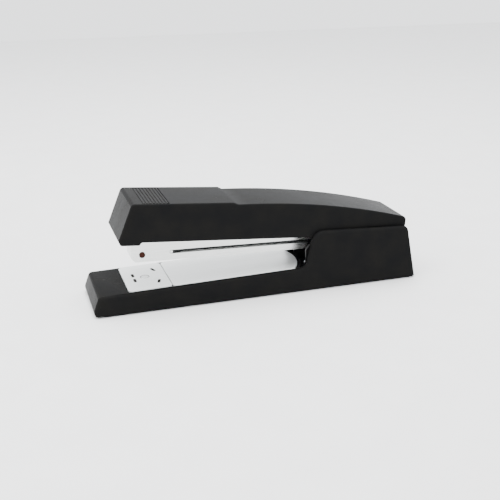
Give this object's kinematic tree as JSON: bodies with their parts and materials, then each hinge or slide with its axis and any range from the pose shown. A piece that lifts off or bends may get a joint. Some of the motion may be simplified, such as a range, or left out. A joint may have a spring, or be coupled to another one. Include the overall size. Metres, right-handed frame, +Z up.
{
  "type": "stapler",
  "caption": "Full-strip desk stapler with a black arched handle, bright steel magazine, sprung pusher and clinching anvil, at rest with its nose raised.",
  "frame": {"origin": "under the middle of the sole, on the surface it rests on", "axes": "+X to the rear (nose towards -X), +Y to the stapler's left side seen from the rear, +Z up"},
  "size_m": [0.1974, 0.0446, 0.0627],
  "materials": {
    "enamel_black": "satin enamel",
    "steel_black": "dark coated steel",
    "plate_bright": "bright plated",
    "steel_brushed": "brushed",
    "spring_steel": "spring steel",
    "rubber_black": "matte",
    "plastic_brown": "matte",
    "plastic_black": "matte textured"
  },
  "bodies": {
    "base": {"base_casing": "enamel_black", "base_sole": "rubber_black", "hinge_bracket": "steel_black", "bracket_screw_front": "steel_brushed", "bracket_screw_rear": "steel_brushed", "hinge_pin": "steel_brushed", "pin_ring_left": "spring_steel", "pin_ring_right": "spring_steel", "lift_spring": "spring_steel", "base_plate": "plate_bright", "anvil_plate": "plate_bright", "anvil_post": "steel_brushed", "anvil_spring": "spring_steel"},
    "magazine": {"magazine_channel": "steel_brushed", "staple_rail": "steel_brushed", "nose_block": "plastic_brown", "rear_block": "plastic_black", "rail_rivet_front": "steel_brushed", "rail_rivet_rear": "steel_brushed", "pusher_rod": "steel_brushed", "hinge_bush": "steel_brushed", "pusher_spring": "spring_steel"},
    "pusher": {"pusher_saddle": "steel_black", "pusher_carrier": "steel_brushed"},
    "handle": {"handle_cover": "enamel_black", "grip_panel": "plastic_black", "handle_frame": "steel_brushed", "driver_blade": "steel_brushed", "blade_rivet_left": "steel_brushed", "blade_rivet_right": "steel_brushed", "cover_screw_front": "steel_brushed", "cover_screw_rear": "steel_brushed", "handle_spring": "spring_steel"}
  },
  "joints": [
    {"name": "magazine_hinge", "type": "hinge", "parent": "base", "child": "magazine", "pos_m": [0.07945, 0, 0.027], "axis": [0, 1, 0], "range_deg": [-4.4, 90], "stiffness_Nm_per_rad": 1.5, "springref_deg": 10.18, "deforming": ["lift_spring"]},
    {"name": "handle_hinge", "type": "hinge", "parent": "magazine", "child": "handle", "pos_m": [0.07945, 0, 0.027], "axis": [0, 1, 0], "range_deg": [-2.8, 40], "stiffness_Nm_per_rad": 1.5, "springref_deg": 7.91, "deforming": ["handle_spring"]},
    {"name": "pusher_slide", "type": "slide", "parent": "magazine", "child": "pusher", "axis": [0.9994, 0, -0.034], "range_m": [0, 0.095], "stiffness_N_per_m": 15, "springref_m": -0.04, "deforming": ["pusher_spring"]}
  ]
}
